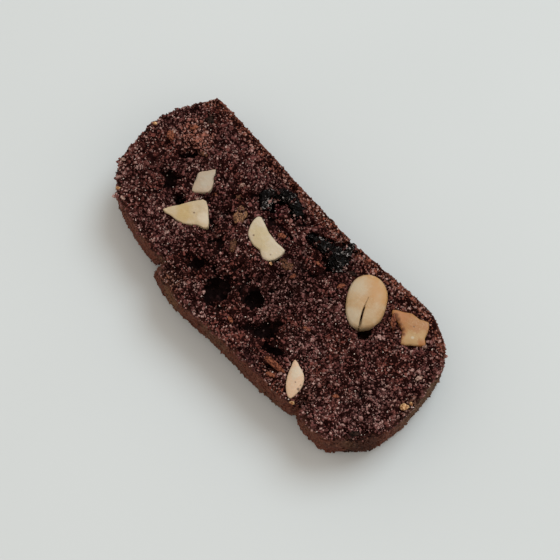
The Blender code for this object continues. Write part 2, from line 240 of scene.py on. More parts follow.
# Where the knife has torn the crumb most, with deeper crevices and painted shade in them:
# place on the slice and reach, in mm
TORN_PLACES = [
    (-1.0, -9.5, 8.0), (3.0, -0.5, 6.0), (-12.0, -4.0, 4.5), (-12.5, -11.0, 6.5),
    (-30.5, -1.5, 5.0), (14.0, -11.0, 6.5), (-32.7, 4.5, 3.5), (-8.0, 10.0, 6.0),
    (-17.0, 4.0, 6.0), (41.0, -11.5, 3.0), (8.0, 7.0, 6.0),
]
LEAST_TORN = 0.25


def torn(points):
    """How badly the crumb is torn at each point, up to 1."""
    worst = np.zeros(len(points))
    for x, y, reach in TORN_PLACES:
        away = np.hypot(points[:, 0] / MM - x, points[:, 1] / MM - y) / reach
        worst = np.maximum(worst, np.exp(-away ** 2))
    return LEAST_TORN + (1.0 - LEAST_TORN) * worst


GRAIN_SIZE = 0.85 * MM
CLUMP_SIZE = 2.3 * MM
# How far the parts of the crumb and of the crust rise or sink, in mm
GRAIN_RISE = 0.22
CLUMP_RISE = 0.28
TORN_CLUMP_RISE = 0.42
CLUMP_LEVEL = 0.85
GAP_DEPTH = 0.5
CREVICE_DEPTH = 1.25
CRUMB_SINK = 0.2
CRUST_WAVE_RISE = 0.17
CRUST_GRAIN_RISE = 0.15
CRUST_SINK = 0.10
RIM_RISE = 0.45
# The crumbled upper rim of the crust, in mm: it begins between these heights, which wander,
# and ends between these distances towards the base
RIM_HEIGHTS = (9.8, 11.8)
RIM_WANDER = 1.8
RIM_STOPS = (12.5, 15.5)
CRUMBLED_AWAY = 0.85

shape = bmesh.new()
add_solid(shape, "dough")
for node in INCLUSIONS:
    kind = node.split("_")[0]
    add_solid(shape, node, CLOSE_IN[kind], CLOSE_IN_DEPTH[kind])
dough = piece_from("biscotti_dough", shape)
mesh = even_mesh(dough, DOUGH_VOXEL)
points, normals = points_and_normals(mesh)
wall_distance = distance_to_walls(mesh, points, normals)
flatness = np.abs(normals[:, 2])
crust = (1.0 - ease(wall_distance, 0.1, 0.7)) * (1.0 - ease(flatness, 0.55, 0.9))
rim_height = points[:, 2] / MM + RIM_WANDER * waves(points, 3.2 * MM, 13.0)
crumbled_rim = ease(rim_height, *RIM_HEIGHTS)
crumbled_rim *= 1.0 - ease(points[:, 1] / MM, *RIM_STOPS)
crust *= 1.0 - CRUMBLED_AWAY * crumbled_rim
face_depth = np.minimum(UPPER_FACE - points[:, 2], points[:, 2] - LOWER_FACE) / MM
# Painted shade: the deeper a point lies below a cut face, in a pit or socket, the blacker it is
# painted
pit_shade_depth = ease(face_depth, 0.2, 2.2) * (wall_distance > 1.2)

small_grain, small_tone = grains(points, GRAIN_SIZE)
clump = grains(points, CLUMP_SIZE)[0]
gaps = ease(-waves(points, 1.25 * MM, 5.0), 0.18, 0.55)
rough = waves(points, 2.7 * MM, 11.0) + 0.6 * waves(points, 1.2 * MM, 17.0)
crevice = ease(-rough, 0.02, 0.42) * torn(points)
clump_height = CLUMP_RISE + TORN_CLUMP_RISE * torn(points)
crumb_rise = (
    GRAIN_RISE * small_grain + clump_height * (clump - CLUMP_LEVEL)
    - GAP_DEPTH * gaps - CREVICE_DEPTH * crevice - CRUMB_SINK
)
crust_rise = (
    CRUST_WAVE_RISE * waves(points, 1.3 * MM, 2.0)
    + CRUST_GRAIN_RISE * small_grain * small_tone - CRUST_SINK
)
rise = crumb_rise * (1.0 - crust) + crust_rise * crust
rise += RIM_RISE * crumbled_rim * (1.0 - ease(flatness, 0.3, 0.8))
underside = points[:, 2] < 1.0 * MM
rise[underside] = np.minimum(rise[underside], 0.0)
points = in_box(points + normals * (rise * MM)[:, None])
in_upper_face = ease(points[:, 2] / MM, 9.0, 11.5)
ragged = np.stack([waves(points, 1.3 * MM, shift) for shift in (3.0, 6.0, 9.0)], axis=1)
ragged = points + HOLE_RAGGEDNESS * MM * ragged
# Crevices and holes add to that painted shade as well
pit_shade_depth = np.maximum(pit_shade_depth, 0.8 * crevice * (1.0 - crust))
for hole in HOLES:
    share = hole_share(ragged, hole) * in_upper_face
    points[:, 2] -= share * hole[-1] * MM
    pit_shade_depth = np.maximum(pit_shade_depth, share)
set_points(mesh, points)
dough_layers = {
    "crust": crust,
    # The tone falls towards each grain's edge and in the sunken gaps: painted shade between the
    # grains
    "tone": 0.14 + 0.50 * small_tone * small_grain - 0.35 * gaps,
    "pit_shade": pit_shade_depth,
    # Where torn, the crumb is painted darker: painted shade of its crevices
    "torn": torn(points) * ease(points[:, 2] / MM, 6.0, 9.0),
    "base_rim": (1.0 - ease(wall_distance, 0.8, 3.6)) * ease(points[:, 1] / MM, 13.0, 16.5),
}
for name, values in dough_layers.items():
    set_layer(mesh, name, values)
mesh.shade_smooth()


class Surface:
    """A material under construction: small steps that add nodes and hand on their outputs."""

    def __init__(self, name, roughness=0.6, gloss=0.5):
        self.material = bpy.data.materials.new(name)
        self.material.use_nodes = True
        self.tree = self.material.node_tree
        self.shader = self.tree.nodes["Principled BSDF"]
        self.shader.inputs["Roughness"].default_value = roughness
        self.shader.inputs["Specular IOR Level"].default_value = gloss
        self.place = self.tree.nodes.new("ShaderNodeTexCoord").outputs["Object"]

    def link(self, value, socket):
        if isinstance(value, bpy.types.NodeSocket):
            self.tree.links.new(value, socket)
        elif hasattr(value, "__len__"):
            socket.default_value = (*value, 1.0) if socket.type == "RGBA" else value
        else:
            socket.default_value = value

    def layer(self, name):
        node = self.tree.nodes.new("ShaderNodeAttribute")
        node.attribute_name = name
        return node.outputs["Fac"]

    def noise(self, length, detail=3.0, roughness=0.55):
        node = self.tree.nodes.new("ShaderNodeTexNoise")
        node.inputs["Scale"].default_value = 1.0 / length
        node.inputs["Detail"].default_value = detail
        node.inputs["Roughness"].default_value = roughness
        self.link(self.place, node.inputs["Vector"])
        return node.outputs["Fac"]

    def math(self, operation, a, b=0.0):
        node = self.tree.nodes.new("ShaderNodeMath")
        node.operation = operation
        self.link(a, node.inputs[0])
        self.link(b, node.inputs[1])
        return node.outputs[0]

    def distance(self, spot, stretch=(1.0, 1.0, 1.0)):
        """How far the surface is from a spot, after a stretch of the three directions."""
        offset = self.tree.nodes.new("ShaderNodeVectorMath")
        offset.operation = "SUBTRACT"
        self.link(self.place, offset.inputs[0])
        self.link(spot, offset.inputs[1])
        scaled = self.tree.nodes.new("ShaderNodeVectorMath")
        scaled.operation = "MULTIPLY"
        self.link(offset.outputs["Vector"], scaled.inputs[0])
        self.link(stretch, scaled.inputs[1])
        length = self.tree.nodes.new("ShaderNodeVectorMath")
        length.operation = "LENGTH"
        self.link(scaled.outputs["Vector"], length.inputs[0])
        return length.outputs["Value"]

    def spread(self, value, low, high, start=0.0, end=1.0):
        """The value, taken from low..high to start..end and kept there."""
        node = self.tree.nodes.new("ShaderNodeMapRange")
        node.interpolation_type = "SMOOTHSTEP"
        ends = {"From Min": low, "From Max": high, "To Min": start, "To Max": end}
        for name, number in ends.items():
            node.inputs[name].default_value = number
        self.link(value, node.inputs["Value"])
        return node.outputs["Result"]

    def mix(self, share, a, b):
        node = self.tree.nodes.new("ShaderNodeMix")
        node.data_type = "RGBA"
        colours = [socket for socket in node.inputs if socket.type == "RGBA"]
        self.link(share, node.inputs[0])
        self.link(a, colours[0])
        self.link(b, colours[1])
        return next(socket for socket in node.outputs if socket.type == "RGBA")

    def bump(self, height, distance):
        node = self.tree.nodes.new("ShaderNodeBump")
        node.inputs["Distance"].default_value = distance
        self.link(height, node.inputs["Height"])
        return node.outputs["Normal"]

    def finish(self, colour, roughness=None, normal=None):
        self.link(colour, self.shader.inputs["Base Color"])
        if roughness is not None:
            self.link(roughness, self.shader.inputs["Roughness"])
        if normal:
            self.link(normal, self.shader.inputs["Normal"])
        return self.material


# Near-black: the darkest grains, and painted shade between grains, in gaps and in specks on the
# crust
CRUMB_DARK_AND_GAP_SHADE = (0.010, 0.0014, 0.0010)
CRUMB_MAUVE = (0.148, 0.053, 0.049)
CRUMB_RED = (0.160, 0.046, 0.036)
# Pale dusty grains, which also stand in for painted highlights on the crumb
CRUMB_PALE_AND_HIGHLIGHT = (0.400, 0.255, 0.228)
CRUMB_RUST = (0.235, 0.076, 0.047)
# Painted shade: the near-black of pits, holes and crevices
PIT_PAINTED_SHADE = (0.003, 0.0010, 0.0010)
# Where the crumb has another tint: place on the slice and reach in mm, colour and strength
CRUMB_PATCHES = [
    (-34.5, 9.0, 6.0, (0.380, 0.148, 0.105), 0.9),
    (-33.0, -10.5, 7.0, (0.110, 0.034, 0.029), 0.6),
    (26.0, -12.0, 5.0, (0.180, 0.085, 0.070), 0.5),
    (37.0, -4.0, 8.5, (0.190, 0.090, 0.082), 0.6),
    (-12.0, -17.8, 4.0, (0.240, 0.110, 0.055), 0.5),
    (22.0, -17.0, 2.5, (0.230, 0.060, 0.032), 0.8),
    (17.0, -14.6, 3.0, (0.240, 0.075, 0.038), 0.7),
    (-9.0, 11.0, 2.6, (0.170, 0.046, 0.056), 0.8),
    (15.0, 13.5, 2.4, (0.250, 0.080, 0.040), 0.7),
    (-14.5, -7.5, 3.5, (0.180, 0.055, 0.048), 0.7),
    (28.0, 13.5, 6.0, (0.170, 0.050, 0.026), 0.5),
    (-35.0, 15.0, 4.5, (0.085, 0.018, 0.013), 0.8),
    (-11.8, 13.2, 3.4, (0.040, 0.016, 0.015), 0.5),
    (-6.8, 14.0, 3.0, (0.040, 0.016, 0.015), 0.5),
    (6.6, 13.2, 3.6, (0.024, 0.010, 0.009), 0.75),
    (9.6, 12.6, 3.6, (0.024, 0.010, 0.009), 0.75),
    (-28.5, 4.5, 6.0, (0.085, 0.026, 0.022), 0.6),
    (5.4, 0.1, 6.5, (0.175, 0.090, 0.082), 0.7),
    (-38.0, -3.0, 10.0, (0.100, 0.030, 0.025), 0.6),
    (-18.7, 16.4, 3.5, (0.280, 0.105, 0.080), 0.7),
    (43.5, 2.0, 4.0, (0.140, 0.082, 0.054), 0.7),
]
CRUST_BROWN = (0.125, 0.044, 0.029)
CRUST_OLIVE = (0.105, 0.060, 0.036)
CRUST_BLOTCH = (0.040, 0.014, 0.010)
CRUST_GRAIN = (0.260, 0.130, 0.088)
# Where the crust has another tint, in the same way but with the height as well
CRUST_PATCHES = [
    (41.0, 6.0, 6.5, 12.0, (0.128, 0.080, 0.048), 0.75),
    (42.0, -10.0, 6.5, 5.0, (0.030, 0.016, 0.012), 0.7),
    (38.5, -15.5, 6.5, 3.5, (0.085, 0.030, 0.024), 0.6),
    (-10.5, -19.5, 6.5, 4.0, (0.160, 0.092, 0.044), 0.5),
    (-30.0, -16.0, 6.5, 8.0, (0.150, 0.058, 0.040), 0.6),
    (-41.0, -6.0, 6.5, 7.0, (0.085, 0.038, 0.026), 0.5),
    (40.0, -12.4, 1.6, 1.9, (0.006, 0.005, 0.004), 0.95),
]


def crumb_colour(dry):
    """Dark gaps as painted shade, brown grains and pale dusty ones that also stand in for
    painted highlights, painted shade in pits and torn crevices, redder in patches and along the
    base.
    """
    fine = dry.noise(0.35 * MM)
    shade = dry.math("ADD", dry.layer("tone"), dry.spread(fine, 0.25, 0.75, -0.15, 0.15))
    mottles = dry.noise(2.6 * MM, 2.0)
    shade = dry.math("ADD", shade, dry.spread(mottles, 0.34, 0.62, -0.16, 0.10))
    patches = dry.noise(7.0 * MM, 1.5)
    brown = dry.mix(dry.spread(patches, 0.42, 0.68), CRUMB_MAUVE, CRUMB_RED)
    rim = dry.spread(dry.layer("base_rim"), 0.1, 0.9, 0.0, 0.8)
    brown = dry.mix(rim, brown, CRUMB_RUST)
    # Painted shade: darker where the crumb is torn, for the shade in its crevices
    shade = dry.math("SUBTRACT", shade, dry.spread(dry.layer("torn"), 0.3, 1.0, 0.0, 0.16))
    for x, y, reach, tone, strength in CRUMB_PATCHES:
        near = dry.distance((x * MM, y * MM, 12.5 * MM), (1.0, 1.0, 0.3))
        share = dry.spread(near, 0.2 * reach * MM, reach * MM, strength, 0.0)
        brown = dry.mix(share, brown, tone)
    # Low tone goes to near-black: dark grains, and painted shade between them
    colour = dry.mix(dry.spread(shade, 0.12, 0.58), CRUMB_DARK_AND_GAP_SHADE, brown)
    # High tone goes to pale: dusty grains and painted highlights
    colour = dry.mix(dry.spread(shade, 0.62, 1.0), colour, CRUMB_PALE_AND_HIGHLIGHT)
    # Painted shade: black in pits, holes and crevices
    return dry.mix(dry.spread(dry.layer("pit_shade"), 0.1, 1.0, 0.0, 0.85), colour, PIT_PAINTED_SHADE)


def crust_colour(dry):
    """Brown, olive in patches, blotched, with pale grains and dark specks of painted shade that
    a fine noise places.
    """
    fine = dry.noise(0.5 * MM, 4.0)
    olive = dry.spread(dry.noise(8.0 * MM, 2.0), 0.50, 0.66, 0.0, 0.7)
    colour = dry.mix(olive, CRUST_BROWN, CRUST_OLIVE)
    for x, y, z, reach, tone, strength in CRUST_PATCHES:
        near = dry.distance((x * MM, y * MM, z * MM), (1.0, 1.0, 0.5))
        share = dry.spread(near, 0.3 * reach * MM, reach * MM, strength, 0.0)
        colour = dry.mix(share, colour, tone)
    blotches = dry.spread(dry.noise(2.2 * MM, 3.0), 0.52, 0.70, 0.0, 0.5)
    colour = dry.mix(blotches, colour, CRUST_BLOTCH)
    pale_grains = dry.spread(dry.noise(0.7 * MM, 2.0), 0.56, 0.74, 0.0, 0.6)
    colour = dry.mix(pale_grains, colour, CRUST_GRAIN)
    # Painted shade: dark specks from a fine noise
    return dry.mix(dry.spread(fine, 0.46, 0.68, 0.0, 0.85), colour, CRUMB_DARK_AND_GAP_SHADE)


def dough_surface():
    dry = Surface("baked_cocoa_dough", gloss=0.05)
    colour = dry.mix(dry.layer("crust"), crumb_colour(dry), crust_colour(dry))
    roughness = dry.spread(dry.noise(0.5 * MM, 4.0), 0.3, 0.75, 0.9, 0.6)
    normal = dry.bump(dry.noise(0.28 * MM, 4.0, 0.7), 0.16 * MM)
    return dry.finish(colour, roughness, normal)


mesh.materials.append(dough_surface())
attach(dough, "root")
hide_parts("dough")


# Crumbs: grains of dry cocoa dough, torn loose by the knife and still lying where they were.
# Fine ones cover both cut faces, coarse ones stand out between them, and none covers a nut.
DRAW = np.random.default_rng(20)
# Spots drawn for each one that is kept, since some of them lie on nuts and raisins
SPARE_SPOTS = 1.25
ENDS = (-1, 1)
CUBE_CORNERS = np.array([(x, y, z) for x in ENDS for y in ENDS for z in ENDS]) / 3 ** 0.5
CUBE_FACES = np.array([
    (0, 1, 3, 2), (4, 6, 7, 5), (0, 4, 5, 1), (2, 3, 7, 6), (0, 2, 6, 4), (1, 5, 7, 3),
])


def ball(divisions):
    """The corners and faces of a small even ball of radius 1, to be made uneven."""
    shape = bmesh.new()
    bmesh.ops.create_icosphere(shape, subdivisions=divisions, radius=1.0)
    corners = np.array([tuple(v.co) for v in shape.verts])
    faces = np.array([[v.index for v in face.verts] for face in shape.faces])
    shape.free()
    return corners, faces


mesh.calc_loop_triangles()
triangles = np.array([t.vertices[:] for t in mesh.loop_triangles])
sides = points[triangles[:, 1:]] - points[triangles[:, :1]]
crosses = np.cross(sides[:, 0], sides[:, 1])
areas = 0.5 * np.linalg.norm(crosses, axis=1)
outward = crosses / (2.0 * areas[:, None] + 1e-20)
crumb_share = 1.0 - crust[triangles[:, 0]]
in_pit = ease(pit_shade_depth[triangles[:, 0]], 0.1, 0.8)
open_crumb = areas * crumb_share ** 2 * (1.0 - 0.92 * in_pit)

inclusion_shape = bmesh.new()
for node in INCLUSIONS:
    add_solid(inclusion_shape, node)
inclusions = bvhtree.BVHTree.FromBMesh(inclusion_shape)


def clear_of_inclusions(spot, gap):
    """Whether a spot on a cut face is out of the nuts and raisins by the gap."""
    outwards = UP if spot.z > SLICE_MIDDLE else -UP
    if inclusions.ray_cast(spot, outwards)[0] is not None:
        return False
    return inclusions.find_nearest(spot, gap)[0] is None


def scatter(count, weight, gap):
    """Random spots on the dough where the weight allows: faces, places and the way out."""
    chosen = DRAW.choice(len(weight), int(SPARE_SPOTS * count), p=weight / weight.sum())
    share = DRAW.random((2, len(chosen), 1))
    share = np.where(share.sum(axis=0) > 1.0, 1.0 - share, share)
    spots = points[triangles[chosen, 0]] + (sides[chosen] * share.transpose(1, 0, 2)).sum(axis=1)
    clear = [i for i, spot in enumerate(spots) if clear_of_inclusions(Vector(spot), gap)]
    clear = clear[:count]
    return chosen[clear], spots[clear], outward[chosen[clear]]


def lumps(name, body, spots, sizes, layers, unevenness=0.42):
    """One mesh of many irregular lumps: turned, stretched and jittered copies of a body."""
    corners, faces = body
    count = len(spots)
    turns = np.linalg.qr(DRAW.normal(size=(count, 3, 3)))[0]
    turns[:, :, 0] *= np.linalg.det(turns)[:, None]
    bodies = corners * (1.0 + DRAW.uniform(-unevenness, unevenness, (count, len(corners), 1)))
    bodies *= DRAW.uniform(0.45, 1.45, (count, 1, 3)) * (0.5 * sizes)[:, None, None]
    bodies = np.einsum("nij,nkj->nki", turns, bodies) + spots[:, None]
    first = (np.arange(count) * len(corners))[:, None, None]
    mesh = bpy.data.meshes.new(name)
    all_corners = in_box(bodies.reshape(-1, 3)).tolist()
    all_faces = (faces + first).reshape(-1, faces.shape[1]).tolist()
    mesh.from_pydata(all_corners, [], all_faces)
    for layer, values in layers.items():
        set_layer(mesh, layer, np.repeat(values, len(corners)))
    mesh.update()
    piece = bpy.data.objects.new(name, mesh)
    bpy.context.scene.collection.objects.link(piece)
    return piece


def crumb_surface(name, colour):
    dry = Surface(name, roughness=0.55, gloss=0.05)
    roughness = dry.spread(dry.noise(0.4 * MM), 0.3, 0.7, 0.8, 0.45)
    return dry.finish(colour(dry), roughness, dry.bump(dry.noise(0.2 * MM), 0.05 * MM))


def crumbs(name, body, weight, count, sizes, lift, material, palest=1.0):
    """Scatters crumbs, each a little way out of the dough, and gives each its own tone."""
    smallest, largest = (size * MM for size in sizes)
    faces, spots, out = scatter(count, weight, 0.35 * smallest)
    widths = smallest + (largest - smallest) * DRAW.random(len(spots)) ** 2
    spots = spots + out * (DRAW.normal(lift, 0.1, len(spots)) * widths)[:, None]
    corners = triangles[faces, 0]
    # Each crumb takes the painted shade of the pit it lies in
    layers = {
        "tone": palest * DRAW.random(len(spots)) ** 0.9,
        "pit_shade": pit_shade_depth[corners],
        "torn": dough_layers["torn"][corners],
        "base_rim": dough_layers["base_rim"][corners],
    }
    piece = lumps(name, body, spots, widths, layers)
    piece.data.materials.append(material)
    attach(piece, "root")


cube = (CUBE_CORNERS, CUBE_FACES)
in_upper_half = points[triangles[:, 0], 2] > SLICE_MIDDLE
upper = open_crumb * (outward[:, 2] > -0.2) * in_upper_half
lower = open_crumb * (outward[:, 2] < 0.2) * ~in_upper_half
walls = areas * crust[triangles[:, 0]] * (np.abs(outward[:, 2]) < 0.7)
fine_crumb = crumb_surface("fine_cocoa_crumb", crumb_colour)
crumbs(
    "crumbs_fine_upper", cube, upper, count=16600, sizes=(0.25, 0.62), lift=0.2,
    material=fine_crumb,
)
crumbs(
    "crumbs_fine_lower", cube, lower, count=11000, sizes=(0.28, 0.74), lift=0.0,
    material=fine_crumb,
)
coarse_crumb = crumb_surface("coarse_cocoa_crumb", crumb_colour)
crumbs(
    "crumbs_coarse_upper", ball(1), upper, count=3600, sizes=(0.42, 0.88), lift=0.1,
    material=coarse_crumb, palest=0.82,
)
crumbs(
    "crumbs_coarse_lower", ball(1), lower, count=2600, sizes=(0.50, 1.05), lift=-0.1,
    material=coarse_crumb, palest=0.82,
)
crust_crumb = crumb_surface("baked_crust_crumb", crust_colour)
crumbs(
    "crumbs_crust", cube, walls, count=6000, sizes=(0.30, 0.85), lift=-0.12,
    material=crust_crumb,
)


# Sugar: crystals that didn't dissolve in the dough. They sit loose in both cut faces and
# catch the light.
SUGAR_COUNT = 520
SUGAR_LIFT = 0.18 * MM
SUGAR_DUSTY = (0.42, 0.31, 0.26)
SUGAR_CLEAR = (0.75, 0.66, 0.60)


def sugar_surface():
    crystal = Surface("sugar_crystal", roughness=0.25, gloss=0.5)
    cloud = crystal.noise(0.6 * MM, 2.0)
    return crystal.finish(crystal.mix(cloud, SUGAR_DUSTY, SUGAR_CLEAR))


faces, spots, out = scatter(SUGAR_COUNT, open_crumb, 0.2 * MM)
widths = DRAW.uniform(0.18, 0.38, len(spots)) * MM
sugar = lumps("sugar_crystals", cube, spots + out * SUGAR_LIFT, widths, {}, unevenness=0.15)
sugar.data.materials.append(sugar_surface())
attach(sugar, "root")


# Chopped bits: shreds of brown almond skin, rusty crumbs, chips of almond and scraps of
# raisin, baked into the dough and laid bare by the knife.
surface = bvhtree.BVHTree.FromPolygons([tuple(p) for p in points], triangles.tolist())
BIT_BODY = ball(3)
BIT_LEAN = 0.25
BIT_CURL = 0.5


def add_bit(shape, x, y, length, width, thickness, turn, lift=0.0):
    """A rounded uneven flake on the upper cut face, lying along it and a little curled."""
    start = Vector((x * MM, y * MM, 2.0 * SOLID_BOX[1].z))
    spot, normal = surface.ray_cast(start, -UP)[:2]
    spot = spot + UP * ((0.5 * thickness + lift) * MM)
    lean = UP.lerp(normal, BIT_LEAN).rotation_difference(UP)
    corners, faces = BIT_BODY
    half = np.array((0.5 * length, 0.5 * width, 0.5 * thickness)) * MM
    turn_round = Matrix.Rotation(math.radians(turn), 3, "Z")
    seed = Vector((x, y, 5.0))
    made = []
    for corner in corners:
        ragged = 1.0 + 0.5 * noise.noise(Vector(corner) * 1.9 + seed)
        ragged += 0.3 * noise.noise(Vector(corner) * 4.3 + seed)
        flake = Vector(corner * half) * ragged
        ripple = 0.5 * noise.noise(Vector(corner) * 3.5 + seed)
        flake.z += half[2] * (ripple + BIT_CURL * corner[1] ** 2)
        place = spot + lean.inverted() @ (turn_round @ flake)
        made.append(shape.verts.new(in_box(np.array(place))))
    for face in faces:
        shape.faces.new([made[i] for i in face])


def bits(name, places, material):
    """One piece of all the bits of a kind."""
    shape = bmesh.new()
    for place in places:
        add_bit(shape, *place)
    piece = piece_from(name, shape)
    piece.data.shade_smooth()
    piece.data.materials.append(material)
    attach(piece, "root")


def bit_surface(name, dark, light, grain, roughness=0.5, gloss=0.08):
    bit = Surface(name, roughness, gloss)
    streaks = bit.noise(grain, 4.0, 0.65)
    colour = bit.mix(bit.spread(streaks, 0.40, 0.62), dark, light)
    return bit.finish(colour, None, bit.bump(bit.noise(0.25 * MM, 3.0), 0.12 * MM))


# Place, length, width, thickness, turn and lift, in mm and degrees
SKIN_SHREDS = [
    (-13.2, 3.3, 4.2, 2.4, 0.8, -62, 0.05),
]
DARK_SHREDS = [
    (-9.1, -2.3, 3.0, 1.4, 0.6, -55, -0.05), (1.9, 3.4, 3.4, 2.0, 0.6, 10, -0.15),
    (-17.4, 6.4, 2.2, 1.2, 0.6, -50, -0.05), (-30.2, 7.2, 2.0, 1.0, 0.5, 15, -0.05),
]
RUSTY_BITS = [
    (-3.8, 7.2, 1.8, 1.0, 0.5, 30, 0.0), (5.0, 2.6, 1.5, 0.8, 0.5, 80, 0.0),
    (-21.0, 2.8, 1.3, 0.8, 0.5, 20, 0.0), (-36.2, 9.8, 1.8, 1.0, 0.5, 65, 0.0),
    (15.9, -3.0, 2.0, 0.8, 0.4, 25, 0.0), (3.6, -14.0, 1.6, 0.8, 0.5, -10, 0.0),
    (31.0, -8.6, 1.4, 0.7, 0.5, 40, 0.0), (-38.1, 4.4, 2.2, 1.6, 0.8, -34, 0.05),
    (17.2, -13.7, 5.4, 1.2, 0.8, 6, 0.25), (18.6, -15.8, 1.8, 0.9, 0.6, 30, 0.0),
    (13.6, 8.8, 1.8, 1.0, 0.6, 70, 0.0), (6.2, 8.8, 1.1, 0.7, 0.5, 10, 0.0),
    (27.2, 11.5, 3.4, 1.0, 0.7, -46, 0.15),
]
GOLDEN_CHIPS = [
    (42.3, 0.6, 1.9, 1.2, 0.8, 50, 0.1), (25.9, -16.2, 1.1, 0.7, 0.6, 20, 0.05),
    (-0.3, 0.9, 0.9, 0.6, 0.5, 0, 0.0), (42.6, 2.2, 0.8, 0.6, 0.5, 0, 0.05),
    (-43.0, 3.8, 1.0, 0.7, 0.6, 30, 0.1), (-36.3, -12.4, 1.0, 0.7, 0.6, 60, 0.1),
]
PALE_CHIPS = [
    (39.8, 7.1, 1.6, 0.9, 0.6, 75, 0.0), (35.3, 13.0, 1.1, 0.8, 0.6, 10, 0.1),
    (-18.6, 8.7, 1.4, 0.8, 0.6, 60, 0.0), (-22.6, -0.9, 0.9, 0.6, 0.5, 0, 0.1),
    (10.8, 7.2, 1.3, 0.8, 0.6, 35, 0.0), (-21.0, -10.8, 0.9, 0.7, 0.5, 0, 0.05),
    (-41.0, -7.2, 1.2, 0.7, 0.6, 40, 0.1), (-33.6, -13.2, 1.1, 0.8, 0.6, 10, 0.1),
    (-38.6, 5.2, 1.6, 0.9, 0.6, 70, 0.05),
]
RAISIN_SCRAPS = [
    (-36.0, 14.0, 3.2, 2.4, 0.8, 30, -0.1), (39.6, -11.0, 2.4, 1.1, 0.7, 50, -0.05),
    (13.2, 12.6, 1.6, 0.9, 0.6, 20, 0.0),
]
skin_brown = bit_surface(
    "almond_skin", dark=(0.016, 0.006, 0.004), light=(0.300, 0.150, 0.078), grain=0.30 * MM
)
dark_skin = bit_surface(
    "dark_almond_skin", dark=(0.010, 0.004, 0.002), light=(0.150, 0.062, 0.032), grain=0.35 * MM
)
rusty_bit = bit_surface(
    "rusty_crumb", dark=(0.050, 0.012, 0.007), light=(0.255, 0.088, 0.048), grain=0.4 * MM,
    roughness=0.8,
)
golden_chip = bit_surface(
    "golden_chip", dark=(0.240, 0.100, 0.038), light=(0.660, 0.430, 0.230), grain=0.6 * MM
)
pale_chip = bit_surface(
    "pale_chip", dark=(0.150, 0.070, 0.055), light=(0.420, 0.290, 0.240), grain=0.5 * MM
)
dark_scrap = bit_surface(
    "raisin_scrap", dark=(0.004, 0.0025, 0.002), light=(0.034, 0.018, 0.014), grain=0.5 * MM,
    roughness=0.6, gloss=0.03,
)
bits("almond_skin_shreds", SKIN_SHREDS, skin_brown)
bits("dark_almond_skin_shreds", DARK_SHREDS, dark_skin)
bits("rusty_crumbs", RUSTY_BITS, rusty_bit)
bits("golden_almond_chips", GOLDEN_CHIPS, golden_chip)
bits("pale_almond_chips", PALE_CHIPS, pale_chip)
bits("raisin_scraps", RAISIN_SCRAPS, dark_scrap)


# Almonds: blanched, skinned kernels, chopped or whole, baked into the dough. The knife has
# cut most of them flush with the face; the whole one is domed and split along its seam.
ALMOND_VOXEL = 0.17 * MM
WHOLE_ALMOND_VOXEL = 0.11 * MM
ALMONDS = [name for name in INCLUSIONS if name.startswith("almond")]
# Colour of the flesh, of its outer edge and of the side towards the base crust
ALMOND_COLOURS = {
    "almond_whole": ((0.355, 0.243, 0.130), (0.400, 0.300, 0.185), (0.385, 0.210, 0.080)),
    "almond_middle": ((0.425, 0.355, 0.240), (0.445, 0.375, 0.280), (0.425, 0.360, 0.255)),
    "almond_sail": ((0.390, 0.290, 0.155), (0.430, 0.345, 0.235), (0.360, 0.275, 0.170)),
    "almond_rhombus": ((0.330, 0.270, 0.200), (0.350, 0.265, 0.190), (0.330, 0.280, 0.210)),
    "almond_right": ((0.314, 0.144, 0.047), (0.298, 0.118, 0.036), (0.322, 0.170, 0.065)),
    "almond_spindle": ((0.475, 0.330, 0.220), (0.510, 0.345, 0.225), (0.475, 0.350, 0.250)),
    "almond_below_left": ((0.400, 0.315, 0.200), (0.430, 0.345, 0.240), (0.400, 0.300, 0.190)),
    "almond_below_right": ((0.380, 0.275, 0.165), (0.420, 0.330, 0.225), (0.400, 0.260, 0.135)),
}
